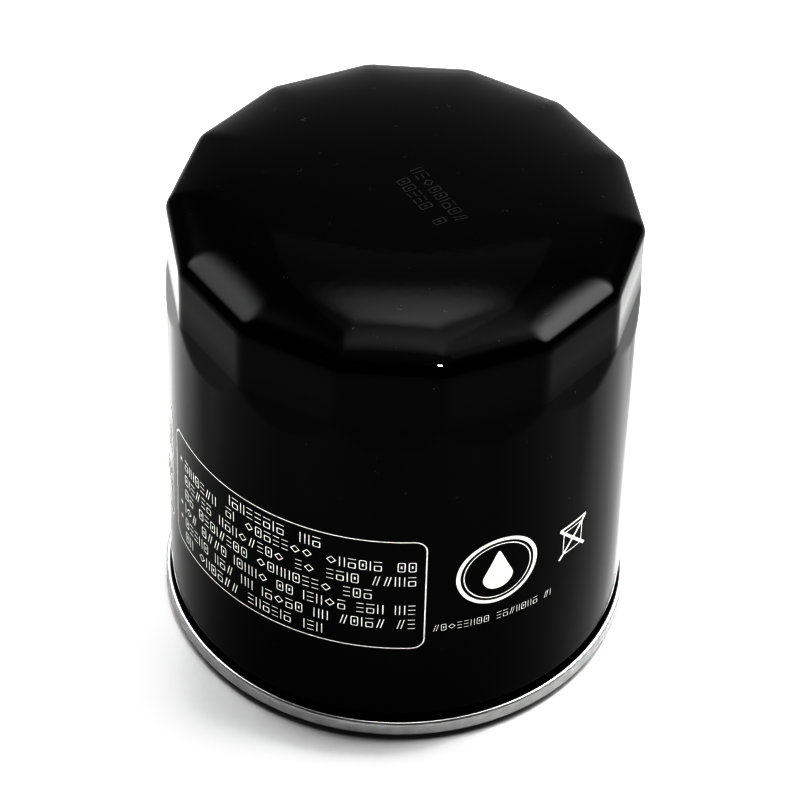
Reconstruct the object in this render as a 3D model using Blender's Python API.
"""A spin-on engine oil filter, standing dome up on its gasket.

The origin is the centre of the gasket's sealing face and +Z runs along the filter's axis
to the domed end. A deep-drawn can is seamed to a thin lid, which is welded to the threaded
tapping plate. Inside are the anti-drainback valve, the pleated element with its bypass
valve, and the spring that holds the element down.
"""

import math

import bmesh
import bpy
from mathutils import Matrix, Vector

MM = 0.001

# Clearance left between pieces that touch
GAP = 0.3 * MM

# Overall
CAN_RADIUS = 38.0 * MM
FILTER_HEIGHT = 84.8 * MM  # sealing face to the top of the dome

# Can
CAN_WALL = 0.5 * MM
SHOULDER_WIDTH = 11.4 * MM  # the shoulder is a quarter of an ellipse, this wide
SHOULDER_HEIGHT = 4.9 * MM
CROWN_RISE = 0.4 * MM
FLUTE_COUNT = 14
FLUTE_LENGTH = 9.8 * MM  # of the full flat, below the shoulder
FLUTE_RUNOUT = 5.0 * MM
FLUTE_FADE = 1.2 * MM  # from the can's radius in to where the flats start to fade on the shoulder
FLUTE_TURN = -79.4  # degrees from +X to one corner between two flutes
NECK_DRAW = 0.35 * MM  # the wall is drawn in by this above the seam
NECK_HEIGHT = 0.6 * MM
NECK_SLOPE = 1.5 * MM

# Seam and lid
LID_SHEET = 0.5 * MM
SEAM_OVERHANG = 0.87 * MM
SEAM_HEIGHT = 3.0 * MM
GASKET_PROUD = 1.2 * MM  # the seam stands off the sealing face by this
RIB_WIDTH = 2.0 * MM
RIB_PROUD = 1.3 * MM  # the rib stops this far above the seam's lower edge
GROOVE_LIP = 2.1 * MM  # height of the groove's inner wall
LID_CORNER = 0.45 * MM
SEALANT_HEIGHT = 1.1 * MM

# Gasket
GASKET_MARGIN = 7.0 * MM  # from the can's radius in to the gasket
GASKET_WIDTH = 4.5 * MM
GASKET_HEIGHT = 5.0 * MM
GASKET_CHAMFER = 0.4 * MM

# Tapping plate
THREAD_MINOR_RADIUS = 9.19 * MM
THREAD_CHAMFER = 1.0 * MM
HUB_WALL = 2.8 * MM
HUB_LENGTH = 10.0 * MM
HUB_FILLET = 1.0 * MM
PLATE_THICKNESS = 3.0 * MM
PLATE_MARGIN = 1.05 * MM  # from the chuck wall in to the plate's edge
INLET_COUNT = 8
INLET_RADIUS = 2.8 * MM

# Anti-drainback valve
VALVE_COLLAR = 3.2 * MM
VALVE_FLANGE = 6.7 * MM
VALVE_FLANGE_THICKNESS = 1.4 * MM
VALVE_LIP = 1.0 * MM
VALVE_SKIRT_RISE = 3.1 * MM
VALVE_LAND = 2.0 * MM  # the lip reaches this far beyond the inlet holes

# Element
CAP_SHEET = 0.5 * MM
CAP_RIM = 3.5 * MM
CAP_COLLAR = 2.5 * MM
CAP_CLEARANCE = 1.2 * MM  # from the hub's end to the inlet cap
ANNULUS = 5.6 * MM  # between the can and the element
TUBE_RADIUS = 13.6 * MM
TUBE_WALL = 0.6 * MM
TUBE_HOLE_RADIUS = 2.0 * MM
TUBE_HOLE_COLUMNS = 6
TUBE_HOLE_ROWS = 5
ADHESIVE_DEPTH = 1.5 * MM
PAPER = 0.6 * MM
OUTER_PITCH = 4.0 * MM  # least spacing of the outer folds
INNER_PITCH = 1.85 * MM  # and of the inner ones
OUTER_FOLD = 1.8 * MM
INNER_FOLD = 1.0 * MM
CLIP_SHEET = 0.3 * MM
CLIP_LEG = 3.0 * MM
SPRING_SPACE = 10.9 * MM  # from the dome cap to the can's dome

# Bypass valve
SEAT_SHEET = 0.5 * MM
SEAT_RADIUS = 9.4 * MM
SEAT_FLANGE = 2.6 * MM
SEAT_DEPTH = 5.0 * MM
ORIFICE_RADIUS = 5.6 * MM
SEAL_LAP = 1.9 * MM  # the seal covers this much round the orifice
SEAL_THICKNESS = 1.0 * MM
BOSS_RADIUS = 2.7 * MM
BOSS_HEIGHT = 2.2 * MM
PLUNGER_DISC = 0.8 * MM
STEM_RADIUS = 2.0 * MM
STEM_REACH = 1.0 * MM  # the stem passes through the cage's floor by this
CAGE_HEIGHT = 15.5 * MM
CAGE_WINDOWS = 4
CAGE_WINDOW_WIDTH = 9.0 * MM
CAGE_RING = 2.4 * MM  # height of the cage's wall left above and below the windows

# Springs
BYPASS_WIRE = 0.9 * MM
BYPASS_COIL_RADIUS = 5.0 * MM
BYPASS_TURNS = 5.0
SUPPORT_WIRE = 2.0 * MM
SUPPORT_FOOT_RADIUS = 17.0 * MM
SUPPORT_HEAD_RADIUS = 11.5 * MM
SUPPORT_TURNS = 3.0
CLOSED_TURNS = 0.75  # at each end of a spring, wound almost flat
CLOSED_PITCH = 1.15  # of the wire's diameter, for those turns

# Facets
CAN_SEGMENTS = 4 * FLUTE_COUNT
BASE_SEGMENTS = 3 * FLUTE_COUNT
INNER_SEGMENTS = 30
SMALL_SEGMENTS = 24
HOLE_SIDES = 12
TUBE_HOLE_SIDES = 8
SHOULDER_STEPS = 6
COIL_STEPS = 16
SMOOTH_ANGLE = math.radians(35)

# Radii worked out from the above
SEAM_RADIUS = CAN_RADIUS + SEAM_OVERHANG
CAN_INNER_RADIUS = CAN_RADIUS - CAN_WALL
NECK_RADIUS = CAN_RADIUS - NECK_DRAW
CHUCK_RADIUS = NECK_RADIUS - CAN_WALL - GAP
PLATE_RADIUS = CHUCK_RADIUS - PLATE_MARGIN
GASKET_OUTER_RADIUS = CAN_RADIUS - GASKET_MARGIN
GASKET_INNER_RADIUS = GASKET_OUTER_RADIUS - GASKET_WIDTH
GROOVE_INNER_RADIUS = GASKET_INNER_RADIUS - GAP - LID_SHEET
HUB_RADIUS = THREAD_MINOR_RADIUS + HUB_WALL
INLET_CIRCLE = (HUB_RADIUS + GROOVE_INNER_RADIUS) / 2
ELEMENT_RADIUS = CAN_INNER_RADIUS - ANNULUS
MEDIA_OUTER_RADIUS = ELEMENT_RADIUS - CAP_SHEET - GAP
MEDIA_INNER_RADIUS = TUBE_RADIUS + 2 * GAP
OUTER_FOLD_RADIUS = MEDIA_OUTER_RADIUS - PAPER / 2
INNER_FOLD_RADIUS = MEDIA_INNER_RADIUS + PAPER / 2
PLEAT_COUNT = int(math.tau * min(OUTER_FOLD_RADIUS / OUTER_PITCH, INNER_FOLD_RADIUS / INNER_PITCH))
CLIPPED_FOLD_RADIUS = OUTER_FOLD_RADIUS - CLIP_SHEET - GAP  # shorter, to leave room for the clip
SEAL_RADIUS = ORIFICE_RADIUS + SEAL_LAP
COLLAR_MIDDLE = SEAT_RADIUS + GAP + CAP_SHEET / 2

# Heights worked out from the above
SEAM_TOP = GASKET_PROUD + SEAM_HEIGHT
FLANGE_BASE = GASKET_PROUD + LID_SHEET + GAP
SHOULDER_BASE = FILTER_HEIGHT - CROWN_RISE - SHOULDER_HEIGHT
FLUTE_BASE = SHOULDER_BASE - FLUTE_LENGTH
RUNOUT_BASE = FLUTE_BASE - FLUTE_RUNOUT
PLATE_BASE = GASKET_HEIGHT + GAP + LID_SHEET + GAP
PLATE_TOP = PLATE_BASE + PLATE_THICKNESS
INLET_CAP_BASE = PLATE_BASE + HUB_LENGTH + CAP_CLEARANCE
INLET_POT_BASE = INLET_CAP_BASE + CAP_SHEET + GAP
MEDIA_BASE = INLET_POT_BASE + ADHESIVE_DEPTH + GAP
DOME_CAP_TOP = SHOULDER_BASE + SHOULDER_HEIGHT - CAN_WALL - SPRING_SPACE
DOME_POT_BASE = DOME_CAP_TOP - CAP_SHEET - GAP - ADHESIVE_DEPTH
MEDIA_HEIGHT = DOME_POT_BASE - GAP - MEDIA_BASE
TUBE_HEIGHT = DOME_CAP_TOP - CAP_SHEET - GAP - INLET_POT_BASE
SEAL_TOP = DOME_CAP_TOP - SEAT_DEPTH
PLUNGER_BASE = SEAL_TOP - SEAL_THICKNESS - GAP - PLUNGER_DISC
CAGE_TOP = DOME_CAP_TOP - CAP_COLLAR - CAP_SHEET - GAP
CAGE_BASE = CAGE_TOP - CAGE_HEIGHT
STEM_LENGTH = PLUNGER_BASE - CAGE_BASE + STEM_REACH


def clear_scene():
    for obj in list(bpy.data.objects):
        bpy.data.objects.remove(obj, do_unlink=True)


# --- Outlines ---


def rounded(path, radius, steps=1):
    """The open path with each inner corner replaced by an arc, kept within half of either side."""
    points = [Vector(point) for point in path]
    result = [points[0]]
    for before, corner, after in zip(points, points[1:], points[2:]):
        back = (before - corner).normalized()
        ahead = (after - corner).normalized()
        half = back.angle(ahead) / 2
        room = min((before - corner).length, (after - corner).length) / 2
        tangent = min(radius / math.tan(half), room)
        centre = corner + (back + ahead).normalized() * tangent / math.cos(half)
        first = corner + back * tangent - centre
        last = corner + ahead * tangent - centre
        for i in range(steps + 1):
            result.append(centre + first.slerp(last, i / steps) * first.length)
    return result + [points[-1]]


def offset(path, distance, closed=False):
    """The path moved sideways by a distance, with mitred corners."""
    points = [Vector(point) for point in path]
    moved = []
    for i, point in enumerate(points):
        before = points[i - 1] if i or closed else point
        after = points[(i + 1) % len(points)] if i + 1 < len(points) or closed else point
        directions = [step.normalized() for step in (point - before, after - point) if step.length]
        along = sum(directions, Vector((0, 0))).normalized()
        sideways = Vector((-along.y, along.x))
        moved.append(point + sideways * distance / along.dot(directions[0]))
    return moved


def sheet_outline(path, thickness):
    """Closed outline of a sheet whose middle surface follows the open path."""
    return offset(path, thickness / 2) + offset(path, -thickness / 2)[::-1]


def ring_outline(inner, outer, height):
    return [(inner, 0), (outer, 0), (outer, height), (inner, height)]


# --- Meshes and objects ---


def add_object(name, data, material, height, parent):
    """Adds a piece whose own zero height stands at the given height on the filter's axis."""
    obj = bpy.data.objects.new(name, data)
    bpy.context.scene.collection.objects.link(obj)
    data.materials.append(material)
    obj.parent = parent
    obj.location.z = height - parent.location.z
    return obj


def add_axis(name, height, parent=None):
    """Adds an empty on the filter's axis that carries the pieces that move together."""
    axis = bpy.data.objects.new(name, None)
    bpy.context.scene.collection.objects.link(axis)
    axis.empty_display_size = CAN_RADIUS
    axis.location.z = height
    axis.parent = parent
    return axis


def to_mesh(name, bm):
    bmesh.ops.recalc_face_normals(bm, faces=bm.faces)
    mesh = bpy.data.meshes.new(name)
    bm.to_mesh(mesh)
    bm.free()
    mesh.shade_smooth()
    mesh.set_sharp_from_angle(angle=SMOOTH_ANGLE)
    return mesh


def turned(name, outline, segments, turn=0.0):
    """Mesh of a closed outline of (radius, height) points spun about the axis."""
    bm = bmesh.new()
    start = Matrix.Rotation(math.radians(turn), 3, "Z")
    verts = [bm.verts.new(start @ Vector((radius, 0, height))) for radius, height in outline]
    for first, second in zip(verts, verts[1:] + verts[:1]):
        if first.co.xy.length or second.co.xy.length:
            bm.edges.new((first, second))
    bmesh.ops.spin(
        bm,
        geom=bm.verts[:] + bm.edges[:],
        cent=(0, 0, 0),
        axis=(0, 0, 1),
        angle=math.tau,
        steps=segments,
        use_merge=True,
    )
    bmesh.ops.remove_doubles(bm, verts=bm.verts, dist=1e-7)
    return to_mesh(name, bm)


def extruded(name, left, right, height, closed):
    """Mesh of the band between two plan outlines with equal numbers of points, raised to a height."""
    bm = bmesh.new()
    lefts = [bm.verts.new((*point, 0)) for point in left]
    rights = [bm.verts.new((*point, 0)) for point in right]
    count = len(lefts)
    for i in range(count if closed else count - 1):
        after = (i + 1) % count
        bm.faces.new((lefts[i], rights[i], rights[after], lefts[after]))
    raised = bmesh.ops.extrude_face_region(bm, geom=bm.faces[:])["geom"]
    bmesh.ops.translate(
        bm, verts=[item for item in raised if isinstance(item, bmesh.types.BMVert)], vec=(0, 0, height)
    )
    return to_mesh(name, bm)


def cut(obj, name, build):
    """Cuts from an object the cutter that build adds to an empty bmesh, in the object's own space."""
    bm = bmesh.new()
    build(bm)
    cutter = bpy.data.objects.new(name, to_mesh(name, bm))
    bpy.context.scene.collection.objects.link(cutter)
    cutter.parent = obj
    cutter.hide_render = True
    cutter.display_type = "WIRE"
    modifier = obj.modifiers.new(name, "BOOLEAN")
    modifier.operation = "DIFFERENCE"
    modifier.solver = "EXACT"
    modifier.object = cutter


def coil(name, wire, height, turns, foot_radius, head_radius):
    """Curve of a compression spring that fills the height, with a closed turn at each end."""
    rise = height - wire
    closed_rise = CLOSED_TURNS * CLOSED_PITCH * wire
    heights = [0, closed_rise, rise - closed_rise, rise]
    turn_stops = [0, CLOSED_TURNS, turns - CLOSED_TURNS, turns]
    curve = bpy.data.curves.new(name, "CURVE")
    curve.dimensions = "3D"
    curve.bevel_depth = wire / 2
    curve.bevel_resolution = 1
    curve.use_fill_caps = True
    spline = curve.splines.new("POLY")
    count = round(turns * COIL_STEPS)
    spline.points.add(count)
    for i, point in enumerate(spline.points):
        turn = turns * i / count
        stage = sum(turn > stop for stop in turn_stops[1:3])
        share = (turn - turn_stops[stage]) / (turn_stops[stage + 1] - turn_stops[stage])
        z = wire / 2 + heights[stage] + share * (heights[stage + 1] - heights[stage])
        radius = foot_radius + (head_radius - foot_radius) * turn / turns
        angle = math.tau * turn
        point.co = (radius * math.cos(angle), radius * math.sin(angle), z, 1)
    return curve


# --- Materials ---


def principled(name, colour, metallic, roughness):
    material = bpy.data.materials.new(name)
    material.use_nodes = True
    shader = material.node_tree.nodes["Principled BSDF"]
    shader.inputs["Base Color"].default_value = (*colour, 1)
    shader.inputs["Metallic"].default_value = metallic
    shader.inputs["Roughness"].default_value = roughness
    return material


def black_enamel():
    return principled("black_enamel", (0.006, 0.006, 0.007), 0.0, 0.12)


def tinplate():
    return principled("tinplate", (0.62, 0.62, 0.61), 1.0, 0.3)


def plain_steel():
    return principled("plain_steel", (0.42, 0.42, 0.42), 1.0, 0.4)


def spring_steel():
    return principled("spring_steel", (0.25, 0.24, 0.23), 1.0, 0.35)


def nitrile_rubber():
    return principled("nitrile_rubber", (0.012, 0.012, 0.012), 0.0, 0.55)


def silicone_rubber():
    return principled("silicone_rubber", (0.42, 0.09, 0.03), 0.0, 0.5)


def sealing_compound():
    return principled("sealing_compound", (0.22, 0.2, 0.16), 0.0, 0.6)


def plastisol():
    return principled("plastisol", (0.35, 0.05, 0.03), 0.0, 0.5)


def filter_paper():
    return principled("filter_paper", (0.66, 0.5, 0.24), 0.0, 0.9)


# --- Casing ---


def can_profile(wall):
    """Half-profile of one side of the can from the neck to the pole, a wall's depth below the outside."""
    radius = CAN_RADIUS - wall
    neck = NECK_RADIUS - wall
    neck_top = SEAM_TOP + NECK_HEIGHT
    profile = [
        (neck, neck_top),
        (radius, neck_top + NECK_SLOPE),
        (radius, RUNOUT_BASE),
        (radius, (RUNOUT_BASE + FLUTE_BASE) / 2),
        (radius, FLUTE_BASE),
    ]
    flat_radius = CAN_RADIUS - SHOULDER_WIDTH
    for i in range(SHOULDER_STEPS + 1):
        angle = math.pi / 2 * i / SHOULDER_STEPS
        across = (SHOULDER_WIDTH - wall) * math.cos(angle)
        up = (SHOULDER_HEIGHT - wall) * math.sin(angle)
        profile.append((flat_radius + across, SHOULDER_BASE + up))
    crown_base = SHOULDER_BASE + SHOULDER_HEIGHT - wall
    profile.append((flat_radius / 2, crown_base + CROWN_RISE * 3 / 4))
    profile.append((0, crown_base + CROWN_RISE))
    return profile


def flute_depth(angle, height):
    """How far the wrench flutes are pressed in from the can's radius at an angle and height."""
    pitch = math.tau / FLUTE_COUNT
    from_corner = (angle - math.radians(FLUTE_TURN)) % pitch
    from_middle = from_corner - pitch / 2
    full = CAN_RADIUS * (1 - math.cos(pitch / 2))
    share = min(max((height - RUNOUT_BASE) / FLUTE_RUNOUT, 0), 1)
    flat = (CAN_RADIUS - full * share) / math.cos(from_middle)
    return max(CAN_RADIUS - flat, 0)


def press_flutes(mesh):
    """Moves the wall in onto the flats, and fades them out over the shoulder."""
    fade_end = CAN_RADIUS - FLUTE_FADE
    fade_start = CAN_RADIUS - SHOULDER_WIDTH
    for vertex in mesh.vertices:
        radius = vertex.co.xy.length
        if vertex.co.z < RUNOUT_BASE or radius <= fade_start:
            continue
        share = min((radius - fade_start) / (fade_end - fade_start), 1)
        smooth = share * share * (3 - 2 * share)
        depth = flute_depth(math.atan2(vertex.co.y, vertex.co.x), vertex.co.z) * smooth
        vertex.co.xy = vertex.co.xy * (radius - depth) / radius


def make_can(root):
    flange_radius = SEAM_RADIUS - LID_SHEET - GAP
    flange_top = FLANGE_BASE + CAN_WALL
    foot = [(flange_radius, FLANGE_BASE), (flange_radius, flange_top), (NECK_RADIUS, flange_top)]
    heel = [(NECK_RADIUS - CAN_WALL, FLANGE_BASE)]
    outline = foot + can_profile(0) + can_profile(CAN_WALL)[::-1] + heel
    mesh = turned("can", outline, CAN_SEGMENTS, FLUTE_TURN)
    press_flutes(mesh)
    return add_object("can", mesh, black_enamel(), 0, root)


def make_seaming_lid(root, metal):
    half = LID_SHEET / 2
    seam_wall = SEAM_RADIUS - half
    seam_top = SEAM_TOP - half
    rim = GASKET_PROUD + half
    chuck_wall = CHUCK_RADIUS - half
    deck = GASKET_HEIGHT + GAP + half
    rib_base = GASKET_PROUD + RIB_PROUD + half
    groove_outer = GASKET_OUTER_RADIUS + GAP + half
    groove_inner = GROOVE_INNER_RADIUS + half
    corners = [
        (NECK_RADIUS + GAP, seam_top),
        (seam_wall, seam_top),
        (seam_wall, rim),
        (chuck_wall, rim),
        (chuck_wall, deck),
        (groove_outer + RIB_WIDTH, deck),
        (groove_outer + RIB_WIDTH, rib_base),
        (groove_outer, rib_base),
        (groove_outer, deck),
        (groove_inner, deck),
        (groove_inner, deck - GROOVE_LIP),
    ]
    outline = sheet_outline(rounded(corners, LID_CORNER), LID_SHEET)
    mesh = turned("seaming_lid", outline, BASE_SEGMENTS, FLUTE_TURN)
    return add_object("seaming_lid", mesh, metal, 0, root)


def make_seam_sealant(root):
    inner = PLATE_RADIUS + GAP
    outer = NECK_RADIUS - CAN_WALL - GAP
    outline = [(inner, 0), (outer, 0), (outer, SEALANT_HEIGHT), (inner, SEALANT_HEIGHT / 2)]
    mesh = turned("seam_sealant", outline, BASE_SEGMENTS, FLUTE_TURN)
    return add_object("seam_sealant", mesh, sealing_compound(), PLATE_BASE, root)


def make_sealing_gasket(root, rubber):
    chamfer = GASKET_CHAMFER
    inner = GASKET_INNER_RADIUS
    outer = GASKET_OUTER_RADIUS
    outline = [
        (inner + chamfer, 0),
        (outer - chamfer, 0),
        (outer, chamfer),
        (outer, GASKET_HEIGHT),
        (inner, GASKET_HEIGHT),
        (inner, chamfer),
    ]
    mesh = turned("sealing_gasket", outline, BASE_SEGMENTS, FLUTE_TURN)
    return add_object("sealing_gasket", mesh, rubber, 0, root)


def add_inlet_holes(bm):
    for i in range(INLET_COUNT):
        turn = Matrix.Rotation(math.tau * i / INLET_COUNT, 4, "Z")
        place = Matrix.Translation((INLET_CIRCLE, 0, PLATE_THICKNESS / 2))
        bmesh.ops.create_cone(
            bm,
            cap_ends=True,
            segments=HOLE_SIDES,
            radius1=INLET_RADIUS,
            radius2=INLET_RADIUS,
            depth=2 * PLATE_THICKNESS,
            matrix=turn @ place,
        )


def make_tapping_plate(root, metal):
    bore = THREAD_MINOR_RADIUS
    mouth = bore + THREAD_CHAMFER
    outline = [
        (mouth, 0),
        (PLATE_RADIUS, 0),
        (PLATE_RADIUS, PLATE_THICKNESS),
        (HUB_RADIUS + HUB_FILLET, PLATE_THICKNESS),
        (HUB_RADIUS, PLATE_THICKNESS + HUB_FILLET),
        (HUB_RADIUS, HUB_LENGTH),
        (mouth, HUB_LENGTH),
        (bore, HUB_LENGTH - THREAD_CHAMFER),
        (bore, THREAD_CHAMFER),
    ]
    mesh = turned("tapping_plate", outline, BASE_SEGMENTS, FLUTE_TURN)
    plate = add_object("tapping_plate", mesh, metal, PLATE_BASE, root)
    cut(plate, "inlet_holes", add_inlet_holes)
    return plate


def make_anti_drainback_valve(root):
    bore = HUB_RADIUS + GAP
    collar = bore + VALVE_COLLAR
    lip = INLET_CIRCLE + INLET_RADIUS + VALVE_LAND
    top = INLET_CAP_BASE - GAP - PLATE_TOP
    flange = top - VALVE_FLANGE_THICKNESS
    outline = [
        (bore, VALVE_SKIRT_RISE),
        (collar - VALVE_LIP, VALVE_SKIRT_RISE),
        (lip - VALVE_LIP, GAP),
        (lip, GAP),
        (lip, GAP + VALVE_LIP),
        (collar, VALVE_SKIRT_RISE + VALVE_LIP),
        (collar, flange),
        (bore + VALVE_FLANGE, flange),
        (bore + VALVE_FLANGE, top),
        (bore, top),
    ]
    mesh = turned("anti_drainback_valve", outline, INNER_SEGMENTS)
    return add_object("anti_drainback_valve", mesh, silicone_rubber(), PLATE_TOP, root)


def make_support_spring(root, metal):
    height = SPRING_SPACE - 2 * GAP
    curve = coil(
        "support_spring", SUPPORT_WIRE, height, SUPPORT_TURNS, SUPPORT_FOOT_RADIUS, SUPPORT_HEAD_RADIUS
    )
    return add_object("support_spring", curve, metal, DOME_CAP_TOP + GAP, root)


# --- Element ---


def cap_mesh(name, collar_middle, rim_side):
    """Mesh of an end cap: a disc with its rim and its collar, the rim up (1) or down (-1)."""
    half = CAP_SHEET / 2
    rim_middle = ELEMENT_RADIUS - half
    path = [
        (collar_middle, half + CAP_COLLAR),
        (collar_middle, half),
        (rim_middle, half),
        (rim_middle, half + CAP_RIM),
    ]
    sided = [(radius, rim_side * height) for radius, height in rounded(path, CAP_SHEET)]
    return turned(name, sheet_outline(sided, CAP_SHEET), INNER_SEGMENTS)


def make_inlet_end_cap(element, metal):
    collar_middle = TUBE_RADIUS - TUBE_WALL - GAP - CAP_SHEET / 2
    mesh = cap_mesh("inlet_end_cap", collar_middle, 1)
    return add_object("inlet_end_cap", mesh, metal, INLET_CAP_BASE, element)


def make_dome_end_cap(element, metal):
    mesh = cap_mesh("dome_end_cap", COLLAR_MIDDLE, -1)
    return add_object("dome_end_cap", mesh, metal, DOME_CAP_TOP, element)


def make_adhesives(element):
    compound = plastisol()
    outline = ring_outline(MEDIA_INNER_RADIUS, MEDIA_OUTER_RADIUS, ADHESIVE_DEPTH)
    for name, base in (("inlet_adhesive", INLET_POT_BASE), ("dome_adhesive", DOME_POT_BASE)):
        add_object(name, turned(name, outline, INNER_SEGMENTS), compound, base, element)


def add_tube_holes(bm):
    depth = 4 * TUBE_WALL
    for row in range(TUBE_HOLE_ROWS):
        height = TUBE_HEIGHT * (row + 1) / (TUBE_HOLE_ROWS + 1)
        for column in range(TUBE_HOLE_COLUMNS):
            share = (column + row % 2 / 2) / TUBE_HOLE_COLUMNS
            turn = Matrix.Rotation(math.tau * share, 4, "Z")
            place = Matrix.Translation((TUBE_RADIUS - TUBE_WALL / 2, 0, height))
            lie = Matrix.Rotation(math.pi / 2, 4, "Y")
            bmesh.ops.create_cone(
                bm,
                cap_ends=True,
                segments=TUBE_HOLE_SIDES,
                radius1=TUBE_HOLE_RADIUS,
                radius2=TUBE_HOLE_RADIUS,
                depth=depth,
                matrix=turn @ place @ lie,
            )


def make_centre_tube(element, metal):
    outline = ring_outline(TUBE_RADIUS - TUBE_WALL, TUBE_RADIUS, TUBE_HEIGHT)
    mesh = turned("centre_tube", outline, INNER_SEGMENTS)
    tube = add_object("centre_tube", mesh, metal, INLET_POT_BASE, element)
    cut(tube, "tube_holes", add_tube_holes)
    return tube


def polar(radius, angle):
    return (radius * math.cos(angle), radius * math.sin(angle))


def make_filter_media(element):
    pitch = math.tau / PLEAT_COUNT
    outer = OUTER_FOLD_RADIUS
    inner = INNER_FOLD_RADIUS
    folds = []
    for i in range(PLEAT_COUNT):
        radius = outer if i else CLIPPED_FOLD_RADIUS
        for side in (-1, 1):
            folds.append(polar(radius, i * pitch + side * OUTER_FOLD / 2 / outer))
        for side in (-1, 1):
            folds.append(polar(inner, (i + 0.5) * pitch + side * INNER_FOLD / 2 / inner))
    faces = offset(folds, PAPER / 2, True), offset(folds, -PAPER / 2, True)
    mesh = extruded("filter_media", *faces, MEDIA_HEIGHT, True)
    mesh.shade_flat()
    return add_object("filter_media", mesh, filter_paper(), MEDIA_BASE, element)


def make_media_clip(element, metal):
    side = OUTER_FOLD / 2 + PAPER / 2 + GAP + CLIP_SHEET / 2
    web = CLIPPED_FOLD_RADIUS + PAPER / 2 + GAP + CLIP_SHEET / 2
    path = [(web - CLIP_LEG, -side), (web, -side), (web, side), (web - CLIP_LEG, side)]
    faces = offset(path, CLIP_SHEET / 2), offset(path, -CLIP_SHEET / 2)
    mesh = extruded("media_clip", *faces, MEDIA_HEIGHT, False)
    return add_object("media_clip", mesh, metal, MEDIA_BASE, element)


# --- Bypass valve ---


def make_bypass_seat(element, metal):
    half = SEAT_SHEET / 2
    cup_wall = SEAT_RADIUS - half
    path = [
        (SEAT_RADIUS + SEAT_FLANGE, half),
        (cup_wall, half),
        (cup_wall, half - SEAT_DEPTH),
        (ORIFICE_RADIUS, half - SEAT_DEPTH),
    ]
    outline = sheet_outline(rounded(path, SEAT_SHEET), SEAT_SHEET)
    mesh = turned("bypass_seat", outline, SMALL_SEGMENTS)
    return add_object("bypass_seat", mesh, metal, DOME_CAP_TOP + GAP, element)


def add_cage_windows(bm):
    height = CAGE_HEIGHT - 2 * CAGE_RING
    for i in range(CAGE_WINDOWS):
        turn = Matrix.Rotation(math.tau * i / CAGE_WINDOWS, 4, "Z")
        place = Matrix.Translation((COLLAR_MIDDLE, 0, CAGE_HEIGHT / 2))
        size = Matrix.Diagonal((6 * CAP_SHEET, CAGE_WINDOW_WIDTH, height, 1))
        bmesh.ops.create_cube(bm, size=1, matrix=turn @ place @ size)


def make_bypass_cage(element, metal):
    half = CAP_SHEET / 2
    path = [
        (COLLAR_MIDDLE, CAGE_HEIGHT),
        (COLLAR_MIDDLE, half),
        (STEM_RADIUS + GAP, half),
    ]
    outline = sheet_outline(rounded(path, CAP_SHEET), CAP_SHEET)
    mesh = turned("bypass_cage", outline, SMALL_SEGMENTS)
    cage = add_object("bypass_cage", mesh, metal, CAGE_BASE, element)
    cut(cage, "cage_windows", add_cage_windows)
    return cage


def make_bypass_spring(element, metal):
    foot = CAGE_BASE + CAP_SHEET + GAP
    height = PLUNGER_BASE - GAP - foot
    curve = coil(
        "bypass_spring", BYPASS_WIRE, height, BYPASS_TURNS, BYPASS_COIL_RADIUS, BYPASS_COIL_RADIUS
    )
    return add_object("bypass_spring", curve, metal, foot, element)


def make_bypass_plunger(valve, metal):
    outline = [
        (0, -STEM_LENGTH),
        (STEM_RADIUS, -STEM_LENGTH),
        (STEM_RADIUS, 0),
        (SEAL_RADIUS, 0),
        (SEAL_RADIUS, PLUNGER_DISC),
        (BOSS_RADIUS, PLUNGER_DISC),
        (BOSS_RADIUS, PLUNGER_DISC + BOSS_HEIGHT),
        (0, PLUNGER_DISC + BOSS_HEIGHT),
    ]
    mesh = turned("bypass_plunger", outline, SMALL_SEGMENTS)
    return add_object("bypass_plunger", mesh, metal, PLUNGER_BASE, valve)


def make_bypass_seal(valve, rubber):
    outline = ring_outline(BOSS_RADIUS + GAP, SEAL_RADIUS, SEAL_THICKNESS)
    mesh = turned("bypass_seal", outline, SMALL_SEGMENTS)
    return add_object("bypass_seal", mesh, rubber, SEAL_TOP - SEAL_THICKNESS, valve)


def main():
    clear_scene()
    root = add_axis("filter", 0)
    element = add_axis("element", INLET_CAP_BASE, root)
    valve = add_axis("bypass_valve", 0, root)
    tin = tinplate()
    steel = plain_steel()
    spring = spring_steel()
    rubber = nitrile_rubber()
    make_can(root)
    make_seaming_lid(root, tin)
    make_seam_sealant(root)
    make_sealing_gasket(root, rubber)
    make_tapping_plate(root, steel)
    make_anti_drainback_valve(root)
    make_support_spring(root, spring)
    make_inlet_end_cap(element, tin)
    make_dome_end_cap(element, tin)
    make_adhesives(element)
    make_centre_tube(element, tin)
    make_filter_media(element)
    make_media_clip(element, steel)
    make_bypass_seat(element, steel)
    make_bypass_cage(element, steel)
    make_bypass_spring(element, spring)
    make_bypass_plunger(valve, steel)
    make_bypass_seal(valve, rubber)


main()
